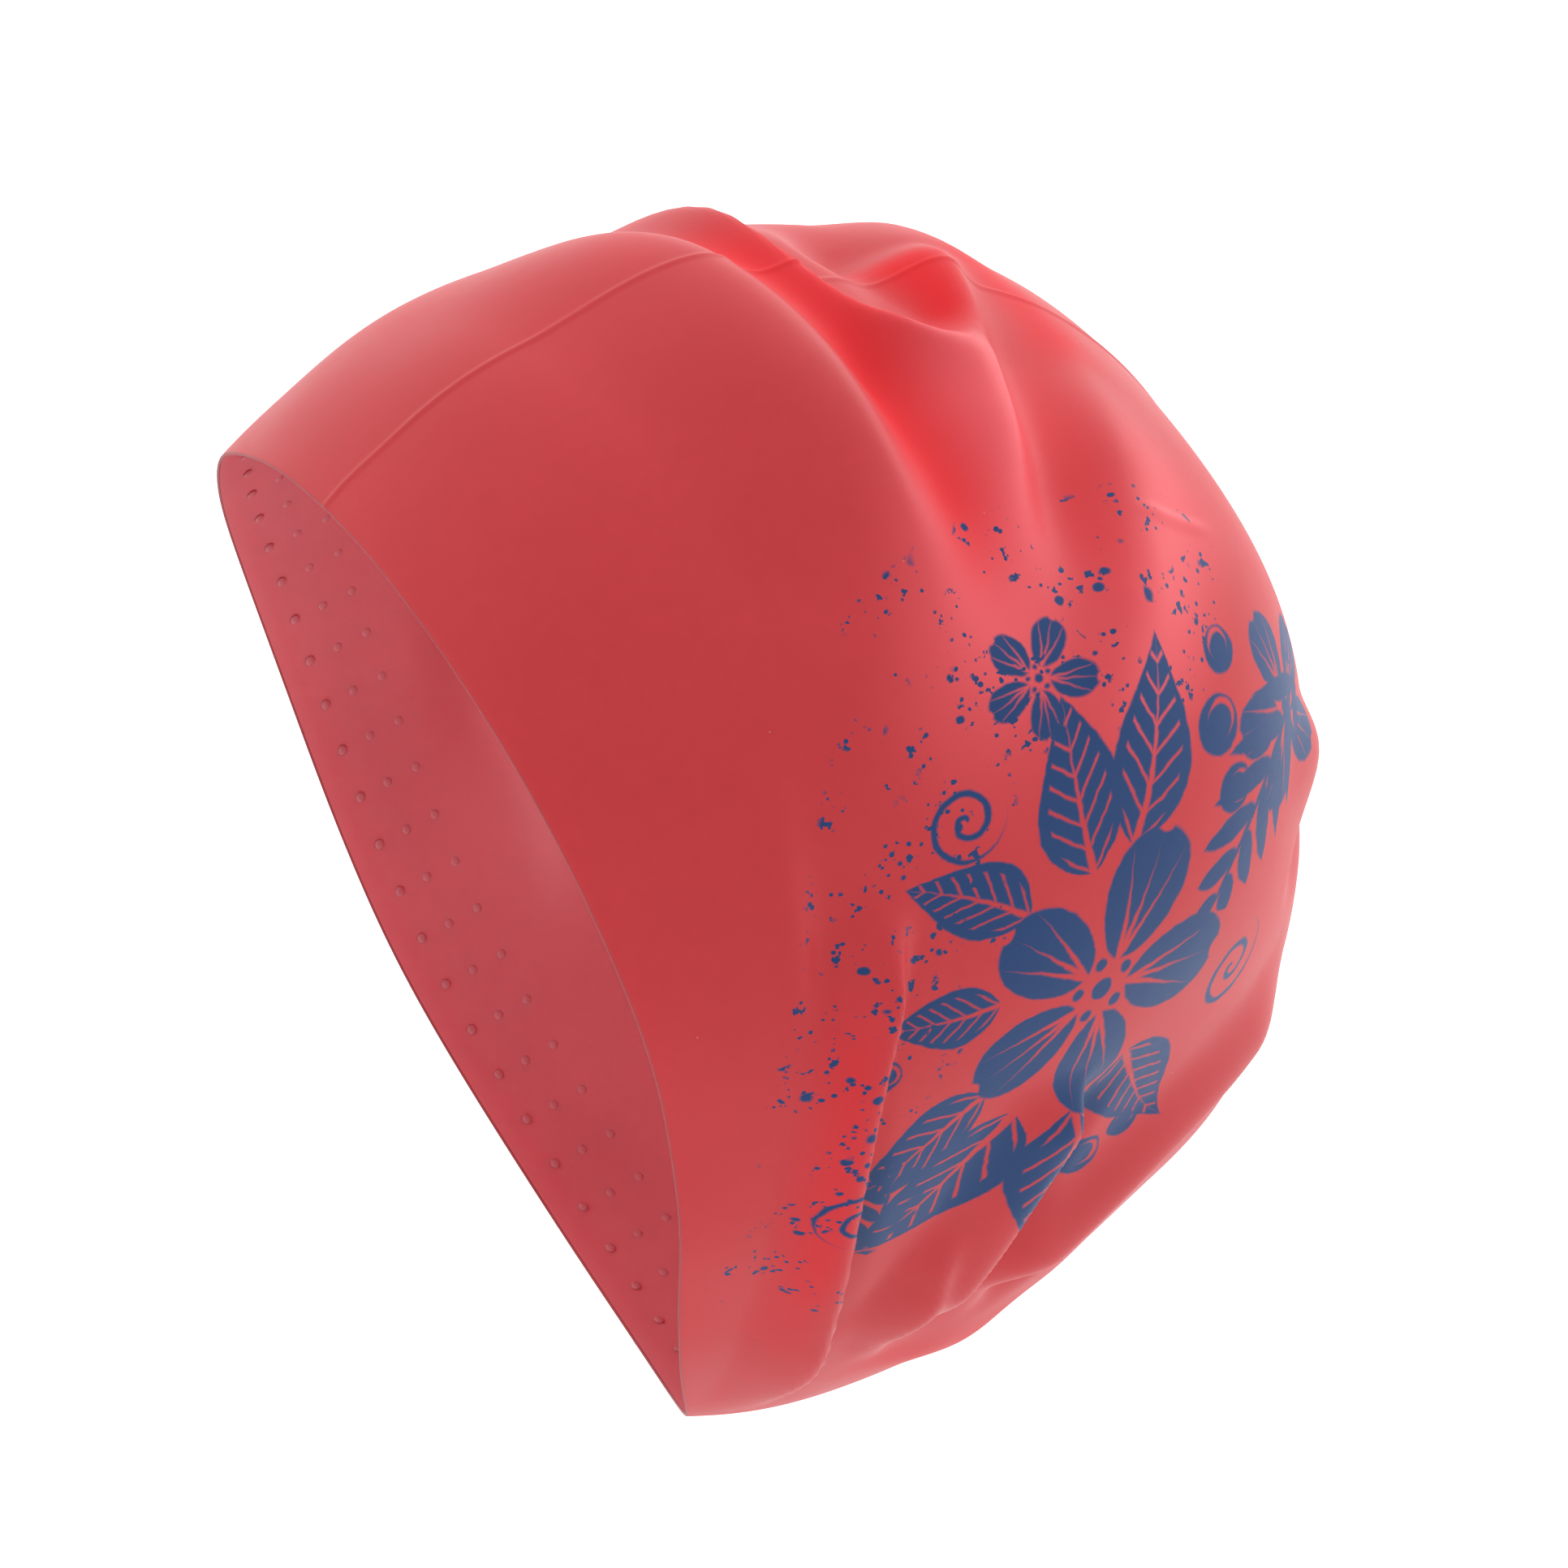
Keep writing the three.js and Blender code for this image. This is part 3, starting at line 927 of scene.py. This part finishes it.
@dataclass(frozen=True)
class Silicone:
    """A coloured moulded silicone: its colours are linear, and its lengths are in millimetres."""

    name: str
    colour: tuple[float, float, float]
    deep_colour: tuple[float, float, float]
    roughness: float = 0.48
    roughness_change: float = 0.08
    refraction: float = 1.45
    glow: float = 0.15
    glow_reach: tuple[float, float, float] = (1.5, 0.35, 0.3)
    grain_height: float = 0.012
    dust: float = 0.5


@dataclass(frozen=True)
class Powder:
    """The fine surface of dusted silicone: a slow colour change, a grain and dust specks.

    Scales are cells to a millimetre, and shares are those of the first of two noises.
    """

    cloud_scales: tuple[float, float] = (0.035, 0.35)
    cloud_share: float = 0.7
    cloud_range: tuple[float, float] = (0.3, 0.7)
    grain_scales: tuple[float, float] = (1.3, 4.5)
    grain_share: float = 0.6
    speck_scale: float = 0.28
    speck_limit: float = 0.82
    speck_range: tuple[float, float] = (0.05, 0.02)

    def build(self) -> bpy.types.NodeTree:
        """Builds the powder's node group.

        The colour change and the grain are noises of the place in millimetres. A speck is where
        a cell texture's distance is below a small radius, in the few cells picked by their shade.

        Returns:
            The node group.
        """
        outputs = dict.fromkeys(("Cloud", "Grain", "Specks"), "Float")
        wiring, source, sink = new_group("silicone_powder", {"Place": "Vector"}, outputs)
        place = source.outputs["Place"]
        slow, quick = (wiring.noise(place, scale, detail=3.0) for scale in self.cloud_scales)
        cloud = slow * self.cloud_share + quick * (1.0 - self.cloud_share)
        wiring.feed(sink.inputs["Cloud"], wiring.ramp(cloud, *self.cloud_range))
        fine = wiring.noise(place, self.grain_scales[0], detail=3.0)
        pits = wiring.noise(place, self.grain_scales[1], detail=2.0)
        wiring.feed(sink.inputs["Grain"], fine * self.grain_share + pits * (1.0 - self.grain_share))
        distance, shade = wiring.cells(place, self.speck_scale)
        speck = wiring.ramp(distance, *self.speck_range)
        wiring.feed(sink.inputs["Specks"], shade.above(self.speck_limit) * speck)
        return wiring.tree


@dataclass(frozen=True)
class Spatter:
    """Ink drops and torn blots beside the flowers, in ovals of the print where a slow noise is high.

    An oval is its centre and its half sizes in millimetres. A drop size is a cell scale and the
    largest radius as a share of the cell.
    """

    ovals: tuple[tuple[float, float, float, float], ...] = (
        (-26.0, -2.0, 17.0, 46.0), (-6.0, 39.0, 32.0, 16.0), (-15.0, -54.0, 13.0, 20.0),
    )
    oval_range: tuple[float, float] = (1.1, 0.5)
    patch_scale: float = 0.11
    patch_range: tuple[float, float] = (0.45, 0.55)
    blot_scale: float = 0.5
    blot_range: tuple[float, float] = (0.62, 0.65)
    drop_sizes: tuple[tuple[float, float], ...] = ((0.15, 0.32), (0.36, 0.36), (0.8, 0.4))
    drop_edge: float = 0.1
    zone_range: tuple[float, float] = (0.2, 0.5)

    def mask(self, wiring: Wiring, point: bpy.types.NodeSocket) -> Term:
        """Works out the spatter's ink mask.

        Args:
            wiring: the material's wiring.
            point: the place in the print.

        Returns:
            The mask.
        """
        x, y, _ = wiring.parts(point)
        zones = []
        for across, up, half_width, half_height in self.ovals:
            wide, tall = (x - across) / half_width, (y - up) / half_height
            zones.append(wiring.ramp(wide * wide + tall * tall, *self.oval_range))
        patches = wiring.ramp(wiring.noise(point, self.patch_scale, detail=1.0), *self.patch_range)
        zone = zones[0].most(*zones[1:]) * patches
        ink = wiring.ramp(wiring.noise(point, self.blot_scale, detail=3.0), *self.blot_range)
        for scale, radius in self.drop_sizes:
            distance, shade = wiring.cells(point, scale)
            ink = ink.most(wiring.ramp(shade * radius - distance, 0.0, self.drop_edge))
        return ink * wiring.ramp(zone, *self.zone_range)


@dataclass
class Finishes:
    """Makes the cap's materials from its finishes and its print."""

    # The painted bounce light's red, laid in the fold hollows, and the roughness added there.
    painted_bounce_colour: tuple[float, float, float] = (0.88, 0.02, 0.028)
    hollow_dulling: float = 0.35
    # The painted sheen's pink, laid on the crown and the side.
    painted_sheen_colour: tuple[float, float, float] = (0.98, 0.12, 0.145)
    ink_colour: tuple[float, float, float] = (0.004, 0.05, 0.19)
    ink_wobble: float = 0.6
    ink_wobble_scale: float = 0.5
    dust_colour: tuple[float, float, float] = (0.85, 0.55, 0.52)

    def __post_init__(self) -> None:
        """Builds the groups that the materials share."""
        self.powder = Powder().build()
        self.motifs = {motif: shape.build() for motif, shape in MOTIF_SHAPES.items()}

    def print_mask(self, wiring: Wiring) -> Term:
        """Joins every stamp and the spatter into one ink mask, its lines made a little uneven.

        Args:
            wiring: the material's wiring.

        Returns:
            The mask.
        """
        point = wiring.attribute(CapSkin.print_attribute).outputs["Vector"]
        wobble = wiring.feed_all(wiring.node("TexNoise"), Vector=point, Scale=self.ink_wobble_scale)
        shift = wiring.vector("SUBTRACT", wobble.outputs["Color"], (0.5, 0.5, 0.5))
        drawn = wiring.vector("ADD", point, wiring.scaled(shift, self.ink_wobble))
        inks = []
        for stamp in STAMPS:
            made = wiring.placed(
                self.motifs[stamp.motif], Point=drawn, Centre=(*stamp.centre, 0.0),
                Turn=math.radians(stamp.turn), Size=stamp.size, **stamp.values,
            )
            inks.append(wiring.term(made.outputs["Ink"]))
        return inks[0].most(*inks[1:], Spatter().mask(wiring, drawn))

    def silicone(self, finish: Silicone, printed: bool = False) -> bpy.types.Material:
        """Makes one silicone material.

        Args:
            finish: the finish.
            printed: lay the painted bounce light in the hollows, the painted sheen on the crown and the
                print's ink over the colour.

        Returns:
            The material.
        """
        material = bpy.data.materials.new(finish.name)
        material.use_nodes = True
        wiring = Wiring(material.node_tree)
        place = wiring.scaled(wiring.node("TexCoord").outputs["Object"], 1.0 / MM)
        powder = wiring.placed(self.powder, Place=place).outputs
        cloud = wiring.term(powder["Cloud"])
        colour = wiring.mix(cloud, (*finish.deep_colour, 1.0), (*finish.colour, 1.0))
        roughness = cloud * finish.roughness_change + (finish.roughness - finish.roughness_change / 2)
        if printed:
            # Painted sheen: a lighter pink is mixed in on the crown and the side, standing in for
            # reflected light.
            painted_sheen = wiring.attribute(CapSkin.painted_sheen_attribute).outputs["Fac"]
            # Painted bounce light: a vivid red is mixed into the fold hollows, standing in for light
            # bouncing in the folds.
            painted_bounce = wiring.term(wiring.attribute(CapSkin.painted_bounce_attribute).outputs["Fac"])
            colour = wiring.mix(painted_sheen, colour, (*self.painted_sheen_colour, 1.0))
            colour = wiring.mix(painted_bounce, colour, (*self.painted_bounce_colour, 1.0))
            colour = wiring.mix(self.print_mask(wiring), colour, (*self.ink_colour, 1.0))
            roughness = painted_bounce * self.hollow_dulling + roughness
        specks = wiring.term(powder["Specks"]) * finish.dust
        bump = wiring.node("Bump")
        wiring.feed_all(bump, Strength=1.0, Distance=finish.grain_height * MM, Height=powder["Grain"])
        wiring.feed_all(
            material.node_tree.nodes["Principled BSDF"],
            Base_Color=wiring.mix(specks, colour, (*self.dust_colour, 1.0)), Roughness=roughness,
            Normal=bump.outputs["Normal"], IOR=finish.refraction, Subsurface_Weight=finish.glow,
            Subsurface_Radius=finish.glow_reach, Subsurface_Scale=MM,
        )
        return material


@dataclass
class CapSkin:
    """The cap's one moulding: the outer wall, the cut edge of the rim and the inner wall."""

    form: CapForm = CapForm()
    wall: float = 1.2
    edge_wall: float = 0.6
    edge_taper: float = 0.08
    columns: int = 520
    rings: int = 150
    inner_rings: int = 60
    edge_rings: int = 3
    inner_softness: float = 0.35
    side_crowding: float = 0.6
    crowded_azimuth: float = 88.0
    line_crowding: float = 3.0
    line_crowding_width: float = 1.3
    ring_crowding: float = 0.5
    fine_steps: int = 1440
    ring_steps: int = 1001
    print_centre: tuple[float, float] = (83.0, 42.0)
    print_right: tuple[float, float, float] = (0.42180, 0.56574, 0.70854)
    print_radius: float = 92.0
    print_least_sine: float = 1e-3
    print_attribute = "print_place"
    # Per-point share of the painted bounce light in the fold hollows.
    painted_bounce_attribute = "painted_bounce_share"
    # Per-point share of the painted sheen on the crown and the side.
    painted_sheen_attribute = "painted_sheen_share"

    def column_azimuths(self) -> np.ndarray:
        """Returns the columns' azimuths in radians.

        They crowd by a cosine towards the side with the most folds and by two narrow bells
        towards the mould line, at the brow and at the nape.
        """
        degrees = np.linspace(0.0, 360.0, self.fine_steps * 10 + 1)
        density = 1.0 + self.side_crowding * np.cos(np.radians(degrees - self.crowded_azimuth))
        lean = math.degrees(self.form.line_offset / self.form.rim_length * 2)
        for middle in (lean, 180.0 - lean, 360.0 + lean):
            beside = (degrees - middle) / self.line_crowding_width
            density = density + self.line_crowding * np.exp(-0.5 * beside**2)
        return spread_out(density, self.columns, closed=True) * 2 * math.pi

    def ring_shares(self, count: int) -> np.ndarray:
        """Returns the rings' shares of the way from the rim to the crown, crowded at half height."""
        density = 1.0 + self.ring_crowding * np.sin(np.linspace(0.0, math.pi, self.ring_steps)) ** 2
        return spread_out(density, count, closed=False)

    def wall_grid(
        self, azimuths: np.ndarray, shares: np.ndarray, softness: float, line: bool,
    ) -> np.ndarray:
        """Returns the outer wall's points on a grid of rings by columns.

        Args:
            azimuths: the columns in radians.
            shares: the rings' shares of the way to the crown.
            softness: the least roundness of a fold.
            line: raise the mould line.

        Returns:
            Rings by columns by three, in millimetres on the cap's axes.
        """
        share, azimuth = np.meshgrid(shares, azimuths, indexing="ij")
        rim = self.form.rim_elevation(azimuth)
        return self.form.wall_points(azimuth, rim + (math.pi / 2 - rim) * share, softness, line)

    def inside_grid(self, azimuths: np.ndarray, shares: np.ndarray) -> np.ndarray:
        """Returns the inner wall's points: softer outer points moved in by the wall, square to it.

        The wall grows smoothly from its thickness at the cut edge over the taper's share of the
        way to the crown.

        Args:
            azimuths: the columns in radians.
            shares: the rings' shares of the way to the crown.

        Returns:
            Rings by columns by three, in millimetres on the cap's axes.
        """
        points = self.wall_grid(azimuths, shares, self.inner_softness, line=False)
        thickness = self.edge_wall + (self.wall - self.edge_wall) * smooth_step(shares / self.edge_taper)
        moved = points - thickness[:, None, None] * wall_normals(points)
        moved[-1] = points[-1].mean(axis=0) - (0.0, 0.0, self.wall)
        return moved

    def edge_grid(self, outer: np.ndarray, inner: np.ndarray) -> np.ndarray:
        """Returns the rings of the rim's rounded cut edge.

        Each is a point of a half circle across the wall: the middle, plus the half wall times
        the cosine, plus the way down times the sine.

        Args:
            outer: the outer wall's lowest two rings.
            inner: the inner wall's lowest ring.

        Returns:
            Edge rings by columns by three.
        """
        middle, half = (outer[0] + inner) / 2, (outer[0] - inner) / 2
        down = outer[0] - outer[1]
        down = down / np.linalg.norm(down, axis=-1, keepdims=True) * self.edge_wall / 2
        turn = np.linspace(0.0, math.pi, self.edge_rings + 2)[1:-1, None, None]
        return middle + half * np.cos(turn) + down * np.sin(turn)

    def print_points(self, points: np.ndarray) -> np.ndarray:
        """Lays the wall flat round the print's centre, so that lengths from it stay true.

        The angle from the centre times a radius is the length, and it is split over the two
        axes of the print by the direction's own parts along them.

        Args:
            points: points on the cap's axes, one a row.

        Returns:
            The place in the print in millimetres, with a third column of 0.
        """
        toward = points / np.linalg.norm(points, axis=1, keepdims=True)
        centre = self.form.direction(*np.radians(self.print_centre))
        axes = self.form.to_world(np.eye(3)) / MM
        right = axes @ np.array(self.print_right)
        right = right - centre * (right @ centre)
        right = right / np.linalg.norm(right)
        up = np.cross(centre, right)
        angle = np.arccos(np.clip(toward @ centre, -1.0, 1.0))
        factor = self.print_radius * angle / np.maximum(np.sin(angle), self.print_least_sine)
        across, upward = factor * (toward @ right), factor * (toward @ up)
        return np.stack([across, upward, np.zeros(len(toward))], axis=1)

    def build(self, materials: list[bpy.types.Material]) -> bpy.types.Object:
        """Builds the skin as one closed mesh.

        Rings of points are numbered from the crown down the outer wall, round the edge and up
        the inner wall, which has half as many columns after its lowest ring.

        Args:
            materials: the outer, the edge's and the inner material.

        Returns:
            The cap's object.
        """
        azimuths = self.column_azimuths()
        outer = self.wall_grid(azimuths, self.ring_shares(self.rings), 0.0, line=True)
        shares = self.ring_shares(self.inner_rings)
        lowest = self.inside_grid(azimuths, shares[:3])[0]
        inner = self.inside_grid(azimuths[::2], shares)
        edge = self.edge_grid(outer[:2], lowest)
        crown, inner_crown = outer[-1].mean(axis=0), inner[-1].mean(axis=0)

        fine = np.concatenate([outer[-2::-1], edge, lowest[None]])
        coarse = inner[1:-1]
        grids = (fine.reshape(-1, 3), coarse.reshape(-1, 3), crown[None], inner_crown[None])
        points = np.concatenate(grids)
        count, half = self.columns, self.columns // 2
        fine_ids = np.arange(len(fine) * count).reshape(len(fine), count)
        coarse_ids = fine_ids.size + np.arange(len(coarse) * half).reshape(len(coarse), half)
        crown_id, inner_crown_id = len(points) - 2, len(points) - 1

        def strips(ids: np.ndarray) -> np.ndarray:
            """Returns the quads between neighbouring rings, the upper outside ring first."""
            after = np.roll(ids, -1, axis=1)
            return np.stack([ids[1:], after[1:], after[:-1], ids[:-1]], axis=-1).reshape(-1, 4)

        top, bottom = fine_ids[0], coarse_ids[-1]
        last, first = fine_ids[-1], coarse_ids[0]
        joint = np.stack(
            [first, np.roll(first, -1), np.roll(last[::2], -1), last[1::2], last[::2]], axis=1,
        )
        cap_fan = np.stack([top, np.roll(top, -1), np.full(count, crown_id)], axis=1)
        inner_fan = np.stack([np.full(half, inner_crown_id), np.roll(bottom, -1), bottom], axis=1)
        fine_quads, coarse_quads = strips(fine_ids), strips(coarse_ids)
        parts = (cap_fan, fine_quads, joint, coarse_quads, inner_fan)
        faces = [face for part in parts for face in part.tolist()]
        outer_count = len(cap_fan) + (self.rings - 2) * count
        edge_count = (self.edge_rings + 1) * count
        slots = np.full(len(faces), len(materials) - 1)
        slots[:outer_count] = 0
        slots[outer_count:outer_count + edge_count] = 1

        mesh = bpy.data.meshes.new("cap_skin")
        mesh.from_pydata(self.form.to_world(points).tolist(), [], faces)
        for material in materials:
            mesh.materials.append(material)
        mesh.polygons.foreach_set("material_index", slots)
        mesh.polygons.foreach_set("use_smooth", np.ones(len(faces), dtype=bool))
        place = mesh.attributes.new(self.print_attribute, "FLOAT_VECTOR", "POINT")
        place.data.foreach_set("vector", self.print_points(points).ravel())
        # Shares of the painted bounce light in the hollows and of the painted sheen on the crown, one a
        # point.
        for name, arcs in ((self.painted_bounce_attribute, PAINTED_BOUNCE_HOLLOWS), (self.painted_sheen_attribute, PAINTED_SHEENS)):
            share = mesh.attributes.new(name, "FLOAT", "POINT")
            share.data.foreach_set("value", self.form.arc_share(arcs, points))
        mesh.update()
        return adopt("cap_skin", mesh)


def adopt(name: str, mesh: bpy.types.Mesh) -> bpy.types.Object:
    """Puts a mesh into the scene as an object at the origin.

    Args:
        name: the object's name.
        mesh: its mesh, in the frame's metres.

    Returns:
        The object.
    """
    made = bpy.data.objects.new(name, mesh)
    bpy.context.scene.collection.objects.link(made)
    return made


@dataclass
class GripDots:
    """The small round dots inside the rim that hold the cap on the hair, in staggered rows."""

    skin: CapSkin
    rows: int = 3
    first_row: float = 5.2
    row_pitch: float = 5.2
    pitch: float = 9.2
    stagger: float = 0.7
    radius: float = 0.95
    height: float = 0.3
    sink: float = 0.1
    sides: int = 8
    steps: int = 3
    row_steps: int = 721
    probe: float = 0.004

    def row_places(self, row: int) -> tuple[np.ndarray, np.ndarray]:
        """Returns one row's dots: points on the inner wall and the way they face.

        The row runs at a set distance from the rim. Its dots are even along its own length,
        and each row is moved along by the stagger, a share of the pitch, from the one before.

        Args:
            row: the row's number from the rim up.

        Returns:
            Points and unit vectors on the cap's axes.
        """
        form = self.skin.form
        azimuths = np.linspace(0.0, 2 * math.pi, self.row_steps)
        rim = form.rim_elevation(azimuths)
        distance = self.first_row + row * self.row_pitch
        climb = distance / form.dome_radius(azimuths, rim)
        loop = form.direction(azimuths, rim + climb) * form.dome_radius(azimuths, rim + climb)[:, None]
        run = np.concatenate([[0.0], np.cumsum(np.linalg.norm(np.diff(loop, axis=0), axis=1))])
        count = round(run[-1] / self.pitch)
        steps = (np.arange(count) + self.stagger * row % 1.0) / count * run[-1]
        azimuth = np.interp(steps, run, azimuths)
        elevation = np.interp(steps, run, rim + climb)
        around = self.inside(azimuth + self.probe, elevation)
        above = self.inside(azimuth, elevation + self.probe)
        place = self.inside(azimuth, elevation)
        outward = np.cross(around - place, above - place)
        outward = outward / np.linalg.norm(outward, axis=1, keepdims=True)
        return place - self.skin.wall * outward, -outward

    def inside(self, azimuth: np.ndarray, elevation: np.ndarray) -> np.ndarray:
        """Returns points of the softened outer wall, from which the inner wall is offset."""
        return self.skin.form.wall_points(azimuth, elevation, self.skin.inner_softness, line=False)

    def build(self, material: bpy.types.Material) -> bpy.types.Object:
        """Builds every dot as a closed round bump in one mesh.

        A dot is a flattened half ball: its rings have the radius times the cosine and the height
        times the sine of even steps, on two axes square to the way it faces.

        Args:
            material: the dots' material.

        Returns:
            The dots' object.
        """
        rows = [self.row_places(row) for row in range(self.rows)]
        places = np.concatenate([place for place, _ in rows])
        facing = np.concatenate([way for _, way in rows])
        aside = np.cross(facing, (0.0, 0.0, 1.0))
        aside = aside / np.linalg.norm(aside, axis=1, keepdims=True)
        upward = np.cross(facing, aside)

        turn = np.linspace(0.0, 2 * math.pi, self.sides, endpoint=False)
        rise = np.linspace(0.0, math.pi / 2, self.steps, endpoint=False)
        wide = self.radius * np.cos(rise)[:, None]
        flat = np.stack([
            (wide * np.cos(turn)).ravel(), (wide * np.sin(turn)).ravel(),
            np.repeat(self.height * np.sin(rise) - self.sink, self.sides),
        ], axis=1)
        flat = np.concatenate([flat, [[0.0, 0.0, self.height - self.sink]]])
        points = places[:, None] + sum(
            flat[None, :, i:i + 1] * axis[:, None] for i, axis in enumerate((aside, upward, facing))
        )
        ids = np.arange(self.steps * self.sides).reshape(self.steps, self.sides)
        after = np.roll(ids, -1, axis=1)
        quads = np.stack([ids[:-1], after[:-1], after[1:], ids[1:]], axis=-1).reshape(-1, 4)
        tip = self.steps * self.sides
        fan = np.stack([ids[-1], after[-1], np.full(self.sides, tip)], axis=1)
        starts = np.arange(len(places)) * len(flat)
        faces = [
            *(quads[None] + starts[:, None, None]).reshape(-1, 4).tolist(),
            *(fan[None] + starts[:, None, None]).reshape(-1, 3).tolist(),
            *(ids[0, ::-1][None] + starts[:, None]).tolist(),
        ]
        mesh = bpy.data.meshes.new("grip_dots")
        mesh.from_pydata(self.skin.form.to_world(points.reshape(-1, 3)).tolist(), [], faces)
        mesh.materials.append(material)
        mesh.polygons.foreach_set("use_smooth", np.ones(len(faces), dtype=bool))
        mesh.update()
        return adopt("grip_dots", mesh)


@dataclass
class SwimCap:
    """The whole cap: its skin and the dots inside the rim."""

    finishes: Finishes
    outer: Silicone = Silicone("silicone_outer", (0.7, 0.042, 0.053), (0.66, 0.036, 0.045))
    edge: Silicone = Silicone(
        "silicone_cut_edge", (0.5, 0.08, 0.09), (0.42, 0.06, 0.07), glow=0.0, dust=0.8,
    )
    # Painted light: the inner wall's colour is much lighter and pinker than the outer's. It stands in
    # for light that passes through the thin wall and bounces inside the cap.
    inner: Silicone = Silicone(
        "silicone_inner", (0.85, 0.27, 0.31), (0.81, 0.25, 0.29), glow=0.6, roughness=0.5,
    )
    # Painted light: the dots take the inner wall's lighter, pinker colour without subsurface. It stands
    # in for the light that shines through the wall around them.
    dot: Silicone = Silicone("silicone_grip_dot", (0.85, 0.27, 0.31), (0.81, 0.25, 0.29), glow=0.0)

    def build(self) -> list[bpy.types.Object]:
        """Builds and dresses every piece, and ties it to the frame.

        Returns:
            The pieces.
        """
        materials = [
            self.finishes.silicone(self.outer, printed=True),
            self.finishes.silicone(self.edge),
            self.finishes.silicone(self.inner),
        ]
        skin = CapSkin()
        cap = skin.build(materials)
        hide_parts(NODE)
        dots = GripDots(skin).build(self.finishes.silicone(self.dot))
        for piece in (cap, dots):
            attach(piece, BODY)
        return [cap, dots]


@dataclass(frozen=True)
class Lamp:
    """A soft square lamp: its place and its side in metres, and its power in watts."""

    name: str
    place: tuple[float, float, float]
    side: float
    power: float


@dataclass
class Studio:
    """The plain pale floor under the cap, the daylight, the lamp and the camera."""

    floor_height: float = -0.36
    floor_radius: float = 1.1
    floor_sides: int = 96
    floor_colour: tuple[float, float, float] = (0.8, 0.8, 0.8)
    floor_roughness: float = 0.9
    daylight: float = 1.04
    daylight_fall: float = 0.5
    dim_side: tuple[float, float, float] = (0.75829, -0.64852, 0.06640)
    aim: tuple[float, float, float] = (0.00893, 0.01980, 0.05382)
    camera_place: tuple[float, float, float] = (1.02215, -0.84674, 0.14255)
    camera_roll: float = 45.24
    camera_reach: float = 50.0
    lens: float = 188.9
    sensor: float = 36.0
    lamp: Lamp = Lamp("top_lamp", (-0.50, 0.10, 1.60), 1.2, 7.0)

    def build_floor(self) -> bpy.types.Object:
        """Builds the floor: one flat disc, its corners even steps of a turn on the radius.

        Returns:
            The floor.
        """
        turn = np.linspace(0.0, 2 * math.pi, self.floor_sides, endpoint=False)
        rim = np.stack([np.cos(turn), np.sin(turn), np.zeros(turn.size)], axis=1)
        points = rim * self.floor_radius + (0.0, 0.0, self.floor_height)
        mesh = bpy.data.meshes.new("studio_floor")
        mesh.from_pydata(points.tolist(), [], [list(range(turn.size))])
        material = bpy.data.materials.new("pale_floor")
        material.use_nodes = True
        shader = material.node_tree.nodes["Principled BSDF"]
        shader.inputs["Base Color"].default_value = (*self.floor_colour, 1.0)
        shader.inputs["Roughness"].default_value = self.floor_roughness
        mesh.materials.append(material)
        mesh.update()
        return adopt("studio_floor", mesh)

    def build_light(self) -> None:
        """Sets the daylight and hangs the soft lamp, aimed at the cap.

        The daylight falls evenly towards the dim side of the room: it is the mean less the fall's
        share of the cosine between the way it comes from and that side.
        """
        world = bpy.data.worlds.new("studio_daylight")
        world.use_nodes = True
        background = world.node_tree.nodes["Background"]
        background.inputs["Color"].default_value = (1.0, 1.0, 1.0, 1.0)
        wiring = Wiring(world.node_tree)
        heading = wiring.node("TexCoord").outputs["Generated"]
        product = wiring.vector("MULTIPLY", heading, self.dim_side)
        towards, aside, upward = wiring.parts(product)
        cosine = towards + aside + upward
        strength = cosine * (-self.daylight * self.daylight_fall) + self.daylight
        wiring.feed(background.inputs["Strength"], strength)
        bpy.context.scene.world = world
        light = bpy.data.lights.new(self.lamp.name, "AREA")
        light.size = self.lamp.side
        light.energy = self.lamp.power
        made = bpy.data.objects.new(self.lamp.name, light)
        made.location = self.lamp.place
        aim = Vector(self.aim) - Vector(self.lamp.place)
        made.rotation_euler = aim.to_track_quat("-Z", "Y").to_euler()
        bpy.context.scene.collection.objects.link(made)

    def build_camera(self) -> None:
        """Puts the camera at its place, looking at the aim, rolled about its own axis."""
        camera = bpy.data.cameras.new("camera")
        camera.sensor_fit = "HORIZONTAL"
        camera.sensor_width = self.sensor
        camera.lens = self.lens
        camera.clip_end = self.camera_reach
        made = bpy.data.objects.new("camera", camera)
        place, aim = Vector(self.camera_place), Vector(self.aim)
        level = (aim - place).to_track_quat("-Z", "Y").to_matrix().to_4x4()
        roll = Matrix.Rotation(math.radians(self.camera_roll), 4, "Z")
        made.matrix_world = Matrix.Translation(place) @ level @ roll
        bpy.context.scene.collection.objects.link(made)
        bpy.context.scene.camera = made

    def build(self) -> None:
        """Builds the floor, the light and the camera, and shows colours as they are."""
        bpy.context.scene.view_settings.view_transform = "Standard"
        self.build_floor()
        self.build_light()
        self.build_camera()


def main() -> None:
    """Builds the studio and the cap, and reports each piece."""
    logging.basicConfig(level=logging.INFO, format="%(name)s: %(message)s")
    Studio().build()
    for piece in SwimCap(Finishes()).build():
        piece.data.calc_loop_triangles()
        log.info("%s: %d triangles", piece.name, len(piece.data.loop_triangles))


if __name__ == "__main__":
    main()
